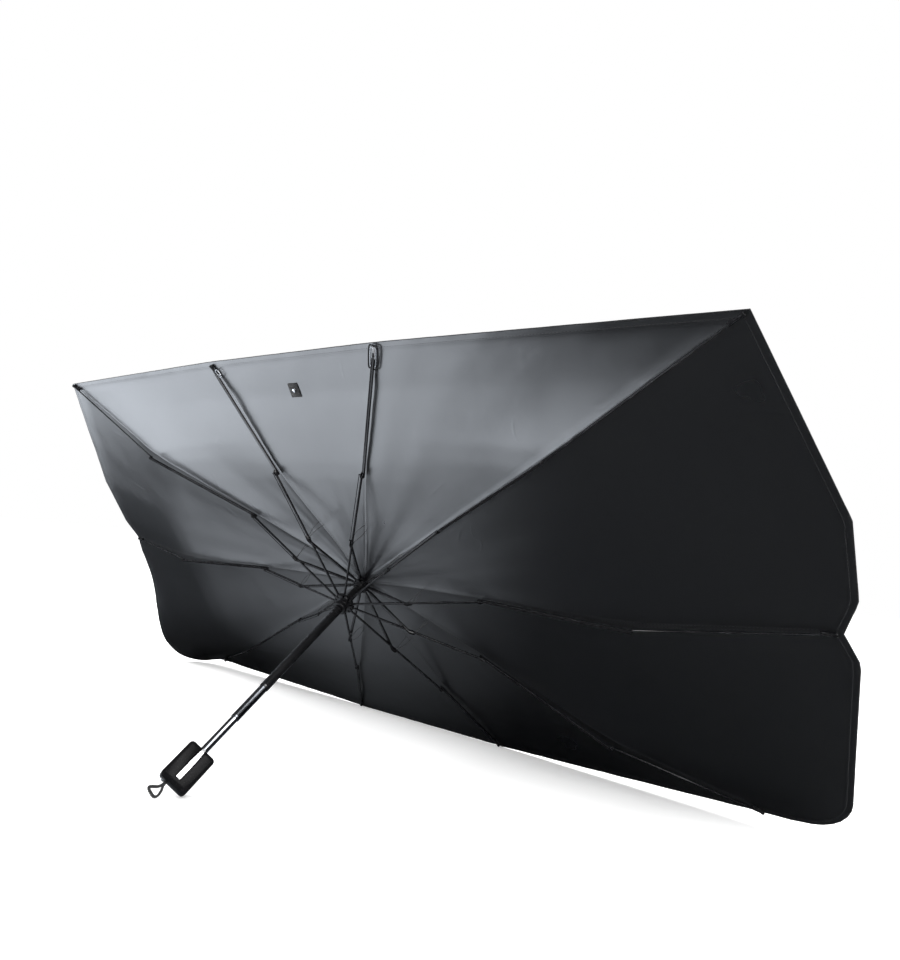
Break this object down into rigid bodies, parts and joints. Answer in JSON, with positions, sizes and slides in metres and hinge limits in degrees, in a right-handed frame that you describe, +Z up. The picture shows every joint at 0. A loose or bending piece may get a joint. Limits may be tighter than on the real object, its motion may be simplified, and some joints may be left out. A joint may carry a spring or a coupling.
{
  "type": "car windshield sunshade",
  "caption": "Umbrella-type car windshield sunshade, open: a wide cloth canopy on folding steel arms, a sliding runner and a telescopic shaft with a flat handle.",
  "frame": {"origin": "centre of the footprint, on the surface it rests on", "axes": "+X across the shade, -Y the way its inner side and handle face, +Z up"},
  "size_m": [1.4058, 0.5818, 0.5917],
  "materials": {
    "canopy_cloth": "satin black coated cloth",
    "black_rib_steel": "black lacquered steel",
    "black_tube": "gloss black",
    "dark_chrome": "dark chrome",
    "bright_chrome": "bright chrome",
    "black_plastic": "moulded, satin",
    "handle_plastic": "moulded, fine grain",
    "strap_webbing": "woven webbing"
  },
  "bodies": {
    "root": {"canopy": "canopy_cloth", "crown": "black_plastic", "cap": "black_plastic", "outer_tube": "black_tube", "closing_tab": "canopy_cloth", "snap": "bright_chrome"},
    "runner": {"runner": "black_plastic"},
    "middle_tube": {"middle_tube": "dark_chrome"},
    "handle": {"inner_tube": "bright_chrome", "handle": "handle_plastic", "handle_inlay": "bright_chrome", "strap_stud": "bright_chrome", "strap": "strap_webbing"},
    "left_top_rib": {"left_top_rib": "black_rib_steel"},
    "left_stretcher": {"left_stretcher": "black_rib_steel"},
    "left_link_wire": {"left_link_wire": "black_rib_steel"},
    "left_middle_rib": {"left_middle_rib": "black_rib_steel"},
    "left_end_rib": {"left_end_rib": "black_rib_steel"},
    "right_top_rib": {"right_top_rib": "black_rib_steel"},
    "right_stretcher": {"right_stretcher": "black_rib_steel"},
    "right_link_wire": {"right_link_wire": "black_rib_steel"},
    "right_middle_rib": {"right_middle_rib": "black_rib_steel"},
    "right_end_rib": {"right_end_rib": "black_rib_steel"},
    "top_right_top_rib": {"top_right_top_rib": "black_rib_steel"},
    "top_right_stretcher": {"top_right_stretcher": "black_rib_steel"},
    "top_right_link_wire": {"top_right_link_wire": "black_rib_steel"},
    "top_right_middle_rib": {"top_right_middle_rib": "black_rib_steel"},
    "top_right_end_rib": {"top_right_end_rib": "black_rib_steel"},
    "top_mid_right_top_rib": {"top_mid_right_top_rib": "black_rib_steel"},
    "top_mid_right_stretcher": {"top_mid_right_stretcher": "black_rib_steel"},
    "top_mid_right_link_wire": {"top_mid_right_link_wire": "black_rib_steel"},
    "top_mid_right_outer_rib": {"top_mid_right_outer_rib": "black_rib_steel"},
    "top_mid_left_top_rib": {"top_mid_left_top_rib": "black_rib_steel"},
    "top_mid_left_stretcher": {"top_mid_left_stretcher": "black_rib_steel"},
    "top_mid_left_link_wire": {"top_mid_left_link_wire": "black_rib_steel"},
    "top_mid_left_outer_rib": {"top_mid_left_outer_rib": "black_rib_steel"},
    "top_left_top_rib": {"top_left_top_rib": "black_rib_steel"},
    "top_left_stretcher": {"top_left_stretcher": "black_rib_steel"},
    "top_left_link_wire": {"top_left_link_wire": "black_rib_steel"},
    "top_left_middle_rib": {"top_left_middle_rib": "black_rib_steel"},
    "top_left_end_rib": {"top_left_end_rib": "black_rib_steel"},
    "bottom_left_top_rib": {"bottom_left_top_rib": "black_rib_steel"},
    "bottom_left_stretcher": {"bottom_left_stretcher": "black_rib_steel"},
    "bottom_left_link_wire": {"bottom_left_link_wire": "black_rib_steel"},
    "bottom_left_middle_rib": {"bottom_left_middle_rib": "black_rib_steel"},
    "bottom_left_end_rib": {"bottom_left_end_rib": "black_rib_steel"},
    "bottom_mid_left_top_rib": {"bottom_mid_left_top_rib": "black_rib_steel"},
    "bottom_mid_left_stretcher": {"bottom_mid_left_stretcher": "black_rib_steel"},
    "bottom_mid_left_link_wire": {"bottom_mid_left_link_wire": "black_rib_steel"},
    "bottom_mid_left_outer_rib": {"bottom_mid_left_outer_rib": "black_rib_steel"},
    "bottom_mid_right_top_rib": {"bottom_mid_right_top_rib": "black_rib_steel"},
    "bottom_mid_right_stretcher": {"bottom_mid_right_stretcher": "black_rib_steel"},
    "bottom_mid_right_link_wire": {"bottom_mid_right_link_wire": "black_rib_steel"},
    "bottom_mid_right_outer_rib": {"bottom_mid_right_outer_rib": "black_rib_steel"},
    "bottom_right_top_rib": {"bottom_right_top_rib": "black_rib_steel"},
    "bottom_right_stretcher": {"bottom_right_stretcher": "black_rib_steel"},
    "bottom_right_link_wire": {"bottom_right_link_wire": "black_rib_steel"},
    "bottom_right_middle_rib": {"bottom_right_middle_rib": "black_rib_steel"},
    "bottom_right_end_rib": {"bottom_right_end_rib": "black_rib_steel"}
  },
  "joints": [
    {"name": "left_top_rib_hinge", "type": "hinge", "parent": "root", "child": "left_top_rib", "pos_m": [-0.0125, 0.04108, 0.26441], "axis": [0.0233, -0.631, 0.7754], "range_deg": [0, 75], "deforming": ["canopy"]},
    {"name": "left_stretcher_hinge", "type": "hinge", "parent": "left_top_rib", "child": "left_stretcher", "pos_m": [-0.11778, 0.0207, 0.25099], "axis": [0.0233, -0.631, 0.7754], "range_deg": [-153.48, 0]},
    {"name": "left_link_wire_hinge", "type": "hinge", "parent": "left_top_rib", "child": "left_link_wire", "pos_m": [-0.12268, 0.0218, 0.24759], "axis": [0.0233, -0.631, 0.7754], "range_deg": [-153.48, 0]},
    {"name": "left_middle_rib_hinge", "type": "hinge", "parent": "left_stretcher", "child": "left_middle_rib", "pos_m": [-0.23042, 0.03688, 0.26754], "axis": [0.0233, -0.631, 0.7754], "range_deg": [0, 163.32]},
    {"name": "left_end_rib_hinge", "type": "hinge", "parent": "left_middle_rib", "child": "left_end_rib", "pos_m": [-0.46206, 0.02283, 0.26308], "axis": [0.0233, -0.631, 0.7754], "range_deg": [-164.88, 0]},
    {"name": "right_top_rib_hinge", "type": "hinge", "parent": "root", "child": "right_top_rib", "pos_m": [0.01249, 0.04108, 0.26441], "axis": [0.0233, 0.631, -0.7754], "range_deg": [0, 75.02]},
    {"name": "right_stretcher_hinge", "type": "hinge", "parent": "right_top_rib", "child": "right_stretcher", "pos_m": [0.11777, 0.0207, 0.25099], "axis": [0.0233, 0.631, -0.7754], "range_deg": [-153.48, 0]},
    {"name": "right_link_wire_hinge", "type": "hinge", "parent": "right_top_rib", "child": "right_link_wire", "pos_m": [0.12252, 0.01744, 0.25294], "axis": [0.0233, 0.631, -0.7754], "range_deg": [-153.48, 0]},
    {"name": "right_middle_rib_hinge", "type": "hinge", "parent": "right_stretcher", "child": "right_middle_rib", "pos_m": [0.23042, 0.03688, 0.26754], "axis": [0.0233, 0.631, -0.7754], "range_deg": [0, 163.32]},
    {"name": "right_end_rib_hinge", "type": "hinge", "parent": "right_middle_rib", "child": "right_end_rib", "pos_m": [0.46206, 0.02283, 0.26308], "axis": [0.0233, 0.631, -0.7754], "range_deg": [-164.88, 0]},
    {"name": "top_right_top_rib_hinge", "type": "hinge", "parent": "root", "child": "top_right_top_rib", "pos_m": [0.01053, 0.03701, 0.26941], "axis": [0.5389, 0.5317, -0.6533], "range_deg": [0, 75.02]},
    {"name": "top_right_stretcher_hinge", "type": "hinge", "parent": "top_right_top_rib", "child": "top_right_stretcher", "pos_m": [0.09923, -0.01764, 0.2981], "axis": [0.5389, 0.5317, -0.6533], "range_deg": [-153.48, 0]},
    {"name": "top_right_link_wire_hinge", "type": "hinge", "parent": "top_right_top_rib", "child": "top_right_link_wire", "pos_m": [0.10144, -0.02212, 0.30156], "axis": [0.5389, 0.5317, -0.6533], "range_deg": [-153.48, 0]},
    {"name": "top_right_middle_rib_hinge", "type": "hinge", "parent": "top_right_stretcher", "child": "top_right_middle_rib", "pos_m": [0.19414, -0.03814, 0.35972], "axis": [0.5389, 0.5317, -0.6533], "range_deg": [0, 163.32]},
    {"name": "top_right_end_rib_hinge", "type": "hinge", "parent": "top_right_middle_rib", "child": "top_right_end_rib", "pos_m": [0.38932, -0.12759, 0.44792], "axis": [0.5389, 0.5317, -0.6533], "range_deg": [-166.27, 0]},
    {"name": "top_mid_right_top_rib_hinge", "type": "hinge", "parent": "root", "child": "top_mid_right_top_rib", "pos_m": [0.00489, 0.034, 0.27311], "axis": [0.9203, 0.2469, -0.3034], "range_deg": [0, 75.02]},
    {"name": "top_mid_right_stretcher_hinge", "type": "hinge", "parent": "top_mid_right_top_rib", "child": "top_mid_right_stretcher", "pos_m": [0.04607, -0.046, 0.33295], "axis": [0.9203, 0.2469, -0.3034], "range_deg": [-153.48, 0]},
    {"name": "top_mid_right_link_wire_hinge", "type": "hinge", "parent": "top_mid_right_top_rib", "child": "top_mid_right_link_wire", "pos_m": [0.04479, -0.05066, 0.33663], "axis": [0.9203, 0.2469, -0.3034], "range_deg": [-153.48, 0]},
    {"name": "top_mid_right_outer_rib_hinge", "type": "hinge", "parent": "top_mid_right_stretcher", "child": "top_mid_right_outer_rib", "pos_m": [0.09015, -0.09362, 0.4279], "axis": [0.9203, 0.2469, -0.3034], "range_deg": [0, 174.44]},
    {"name": "top_mid_left_top_rib_hinge", "type": "hinge", "parent": "root", "child": "top_mid_left_top_rib", "pos_m": [-0.00489, 0.034, 0.27311], "axis": [0.9203, -0.2469, 0.3034], "range_deg": [0, 75.02]},
    {"name": "top_mid_left_stretcher_hinge", "type": "hinge", "parent": "top_mid_left_top_rib", "child": "top_mid_left_stretcher", "pos_m": [-0.04608, -0.046, 0.33295], "axis": [0.9203, -0.2469, 0.3034], "range_deg": [-153.48, 0]},
    {"name": "top_mid_left_link_wire_hinge", "type": "hinge", "parent": "top_mid_left_top_rib", "child": "top_mid_left_link_wire", "pos_m": [-0.05115, -0.04896, 0.33454], "axis": [0.9203, -0.2469, 0.3034], "range_deg": [-153.48, 0]},
    {"name": "top_mid_left_outer_rib_hinge", "type": "hinge", "parent": "top_mid_left_stretcher", "child": "top_mid_left_outer_rib", "pos_m": [-0.09015, -0.09362, 0.4279], "axis": [0.9203, -0.2469, 0.3034], "range_deg": [0, 174.44]},
    {"name": "top_left_top_rib_hinge", "type": "hinge", "parent": "root", "child": "top_left_top_rib", "pos_m": [-0.01053, 0.03701, 0.26941], "axis": [0.5389, -0.5317, 0.6533], "range_deg": [0, 75.02]},
    {"name": "top_left_stretcher_hinge", "type": "hinge", "parent": "top_left_top_rib", "child": "top_left_stretcher", "pos_m": [-0.09923, -0.01764, 0.2981], "axis": [0.5389, -0.5317, 0.6533], "range_deg": [-153.48, 0]},
    {"name": "top_left_link_wire_hinge", "type": "hinge", "parent": "top_left_top_rib", "child": "top_left_link_wire", "pos_m": [-0.10516, -0.01845, 0.29705], "axis": [0.5389, -0.5317, 0.6533], "range_deg": [-153.48, 0]},
    {"name": "top_left_middle_rib_hinge", "type": "hinge", "parent": "top_left_stretcher", "child": "top_left_middle_rib", "pos_m": [-0.19415, -0.03814, 0.35972], "axis": [0.5389, -0.5317, 0.6533], "range_deg": [0, 163.32]},
    {"name": "top_left_end_rib_hinge", "type": "hinge", "parent": "top_left_middle_rib", "child": "top_left_end_rib", "pos_m": [-0.38932, -0.12759, 0.44792], "axis": [0.5389, -0.5317, 0.6533], "range_deg": [-166.27, 0]},
    {"name": "bottom_left_top_rib_hinge", "type": "hinge", "parent": "root", "child": "bottom_left_top_rib", "pos_m": [-0.01091, 0.04512, 0.25945], "axis": [-0.4886, -0.5507, 0.6767], "range_deg": [0, 75.02]},
    {"name": "bottom_left_stretcher_hinge", "type": "hinge", "parent": "bottom_left_top_rib", "child": "bottom_left_stretcher", "pos_m": [-0.10279, 0.05876, 0.20422], "axis": [-0.4886, -0.5507, 0.6767], "range_deg": [-153.48, 0]},
    {"name": "bottom_left_link_wire_hinge", "type": "hinge", "parent": "bottom_left_top_rib", "child": "bottom_left_link_wire", "pos_m": [-0.10532, 0.06115, 0.19923], "axis": [-0.4886, -0.5507, 0.6767], "range_deg": [-153.48, 0]},
    {"name": "bottom_left_middle_rib_hinge", "type": "hinge", "parent": "bottom_left_stretcher", "child": "bottom_left_middle_rib", "pos_m": [-0.2011, 0.11135, 0.17603], "axis": [-0.4886, -0.5507, 0.6767], "range_deg": [0, 163.32]},
    {"name": "bottom_left_end_rib_hinge", "type": "hinge", "parent": "bottom_left_middle_rib", "child": "bottom_left_end_rib", "pos_m": [-0.40326, 0.17217, 0.07956], "axis": [-0.4886, -0.5507, 0.6767], "range_deg": [-164.94, 0]},
    {"name": "bottom_mid_left_top_rib_hinge", "type": "hinge", "parent": "root", "child": "bottom_mid_left_top_rib", "pos_m": [-0.00521, 0.04844, 0.25537], "axis": [-0.909, -0.2631, 0.3233], "range_deg": [0, 75.02]},
    {"name": "bottom_mid_left_stretcher_hinge", "type": "hinge", "parent": "bottom_mid_left_top_rib", "child": "bottom_mid_left_stretcher", "pos_m": [-0.04911, 0.09002, 0.16581], "axis": [-0.909, -0.2631, 0.3233], "range_deg": [-153.48, 0]},
    {"name": "bottom_mid_left_link_wire_hinge", "type": "hinge", "parent": "bottom_mid_left_top_rib", "child": "bottom_mid_left_link_wire", "pos_m": [-0.04798, 0.0927, 0.16047], "axis": [-0.909, -0.2631, 0.3233], "range_deg": [-153.48, 0]},
    {"name": "bottom_mid_left_outer_rib_hinge", "type": "hinge", "parent": "bottom_mid_left_stretcher", "child": "bottom_mid_left_outer_rib", "pos_m": [-0.09607, 0.17251, 0.10088], "axis": [-0.909, -0.2631, 0.3233], "range_deg": [0, 175.78]},
    {"name": "bottom_mid_right_top_rib_hinge", "type": "hinge", "parent": "root", "child": "bottom_mid_right_top_rib", "pos_m": [0.00521, 0.04844, 0.25537], "axis": [-0.909, 0.2631, -0.3233], "range_deg": [0, 75.02]},
    {"name": "bottom_mid_right_stretcher_hinge", "type": "hinge", "parent": "bottom_mid_right_top_rib", "child": "bottom_mid_right_stretcher", "pos_m": [0.0491, 0.09002, 0.16581], "axis": [-0.909, 0.2631, -0.3233], "range_deg": [-153.48, 0]},
    {"name": "bottom_mid_right_link_wire_hinge", "type": "hinge", "parent": "bottom_mid_right_top_rib", "child": "bottom_mid_right_link_wire", "pos_m": [0.05425, 0.09088, 0.1627], "axis": [-0.909, 0.2631, -0.3233], "range_deg": [-153.48, 0]},
    {"name": "bottom_mid_right_outer_rib_hinge", "type": "hinge", "parent": "bottom_mid_right_stretcher", "child": "bottom_mid_right_outer_rib", "pos_m": [0.09607, 0.17251, 0.10088], "axis": [-0.909, 0.2631, -0.3233], "range_deg": [0, 175.78]},
    {"name": "bottom_right_top_rib_hinge", "type": "hinge", "parent": "root", "child": "bottom_right_top_rib", "pos_m": [0.0109, 0.04512, 0.25945], "axis": [-0.4886, 0.5507, -0.6767], "range_deg": [0, 75.02]},
    {"name": "bottom_right_stretcher_hinge", "type": "hinge", "parent": "bottom_right_top_rib", "child": "bottom_right_stretcher", "pos_m": [0.10278, 0.05876, 0.20422], "axis": [-0.4886, 0.5507, -0.6767], "range_deg": [-153.48, 0]},
    {"name": "bottom_right_link_wire_hinge", "type": "hinge", "parent": "bottom_right_top_rib", "child": "bottom_right_link_wire", "pos_m": [0.10868, 0.05735, 0.2039], "axis": [-0.4886, 0.5507, -0.6767], "range_deg": [-153.48, 0]},
    {"name": "bottom_right_middle_rib_hinge", "type": "hinge", "parent": "bottom_right_stretcher", "child": "bottom_right_middle_rib", "pos_m": [0.20109, 0.11135, 0.17603], "axis": [-0.4886, 0.5507, -0.6767], "range_deg": [0, 163.32]},
    {"name": "bottom_right_end_rib_hinge", "type": "hinge", "parent": "bottom_right_middle_rib", "child": "bottom_right_end_rib", "pos_m": [0.40326, 0.17217, 0.07956], "axis": [-0.4886, 0.5507, -0.6767], "range_deg": [-164.94, 0]},
    {"name": "runner_slide", "type": "slide", "parent": "root", "child": "runner", "axis": [0, -0.7756, -0.6312], "range_m": [0, 0.1667]},
    {"name": "middle_tube_slide", "type": "slide", "parent": "root", "child": "middle_tube", "axis": [0, 0.7756, 0.6312], "range_m": [0, 0.0557]},
    {"name": "inner_tube_slide", "type": "slide", "parent": "middle_tube", "child": "handle", "axis": [0, 0.7756, 0.6312], "range_m": [0, 0.0547]}
  ],
  "couplings": [
    {"joint": "left_stretcher_hinge", "follows": "left_top_rib_hinge", "ratio": -2.0462},
    {"joint": "left_link_wire_hinge", "follows": "left_top_rib_hinge", "ratio": -2.0462},
    {"joint": "left_middle_rib_hinge", "follows": "left_top_rib_hinge", "ratio": 2.1773},
    {"joint": "left_end_rib_hinge", "follows": "left_top_rib_hinge", "ratio": -2.1981},
    {"joint": "right_top_rib_hinge", "follows": "left_top_rib_hinge", "ratio": 1},
    {"joint": "right_stretcher_hinge", "follows": "left_top_rib_hinge", "ratio": -2.0462},
    {"joint": "right_link_wire_hinge", "follows": "left_top_rib_hinge", "ratio": -2.0462},
    {"joint": "right_middle_rib_hinge", "follows": "left_top_rib_hinge", "ratio": 2.1773},
    {"joint": "right_end_rib_hinge", "follows": "left_top_rib_hinge", "ratio": -2.1981},
    {"joint": "top_right_top_rib_hinge", "follows": "left_top_rib_hinge", "ratio": 1},
    {"joint": "top_right_stretcher_hinge", "follows": "left_top_rib_hinge", "ratio": -2.0462},
    {"joint": "top_right_link_wire_hinge", "follows": "left_top_rib_hinge", "ratio": -2.0462},
    {"joint": "top_right_middle_rib_hinge", "follows": "left_top_rib_hinge", "ratio": 2.1773},
    {"joint": "top_right_end_rib_hinge", "follows": "left_top_rib_hinge", "ratio": -2.2166},
    {"joint": "top_mid_right_top_rib_hinge", "follows": "left_top_rib_hinge", "ratio": 1},
    {"joint": "top_mid_right_stretcher_hinge", "follows": "left_top_rib_hinge", "ratio": -2.0462},
    {"joint": "top_mid_right_link_wire_hinge", "follows": "left_top_rib_hinge", "ratio": -2.0462},
    {"joint": "top_mid_right_outer_rib_hinge", "follows": "left_top_rib_hinge", "ratio": 2.3256},
    {"joint": "top_mid_left_top_rib_hinge", "follows": "left_top_rib_hinge", "ratio": 1},
    {"joint": "top_mid_left_stretcher_hinge", "follows": "left_top_rib_hinge", "ratio": -2.0462},
    {"joint": "top_mid_left_link_wire_hinge", "follows": "left_top_rib_hinge", "ratio": -2.0462},
    {"joint": "top_mid_left_outer_rib_hinge", "follows": "left_top_rib_hinge", "ratio": 2.3256},
    {"joint": "top_left_top_rib_hinge", "follows": "left_top_rib_hinge", "ratio": 1},
    {"joint": "top_left_stretcher_hinge", "follows": "left_top_rib_hinge", "ratio": -2.0462},
    {"joint": "top_left_link_wire_hinge", "follows": "left_top_rib_hinge", "ratio": -2.0462},
    {"joint": "top_left_middle_rib_hinge", "follows": "left_top_rib_hinge", "ratio": 2.1773},
    {"joint": "top_left_end_rib_hinge", "follows": "left_top_rib_hinge", "ratio": -2.2166},
    {"joint": "bottom_left_top_rib_hinge", "follows": "left_top_rib_hinge", "ratio": 1},
    {"joint": "bottom_left_stretcher_hinge", "follows": "left_top_rib_hinge", "ratio": -2.0462},
    {"joint": "bottom_left_link_wire_hinge", "follows": "left_top_rib_hinge", "ratio": -2.0462},
    {"joint": "bottom_left_middle_rib_hinge", "follows": "left_top_rib_hinge", "ratio": 2.1773},
    {"joint": "bottom_left_end_rib_hinge", "follows": "left_top_rib_hinge", "ratio": -2.199},
    {"joint": "bottom_mid_left_top_rib_hinge", "follows": "left_top_rib_hinge", "ratio": 1},
    {"joint": "bottom_mid_left_stretcher_hinge", "follows": "left_top_rib_hinge", "ratio": -2.0462},
    {"joint": "bottom_mid_left_link_wire_hinge", "follows": "left_top_rib_hinge", "ratio": -2.0462},
    {"joint": "bottom_mid_left_outer_rib_hinge", "follows": "left_top_rib_hinge", "ratio": 2.3434},
    {"joint": "bottom_mid_right_top_rib_hinge", "follows": "left_top_rib_hinge", "ratio": 1},
    {"joint": "bottom_mid_right_stretcher_hinge", "follows": "left_top_rib_hinge", "ratio": -2.0462},
    {"joint": "bottom_mid_right_link_wire_hinge", "follows": "left_top_rib_hinge", "ratio": -2.0462},
    {"joint": "bottom_mid_right_outer_rib_hinge", "follows": "left_top_rib_hinge", "ratio": 2.3434},
    {"joint": "bottom_right_top_rib_hinge", "follows": "left_top_rib_hinge", "ratio": 1},
    {"joint": "bottom_right_stretcher_hinge", "follows": "left_top_rib_hinge", "ratio": -2.0462},
    {"joint": "bottom_right_link_wire_hinge", "follows": "left_top_rib_hinge", "ratio": -2.0462},
    {"joint": "bottom_right_middle_rib_hinge", "follows": "left_top_rib_hinge", "ratio": 2.1773},
    {"joint": "bottom_right_end_rib_hinge", "follows": "left_top_rib_hinge", "ratio": -2.199},
    {"joint": "runner_slide", "follows": "left_top_rib_hinge", "m_per_rad": 0.12727}
  ]
}
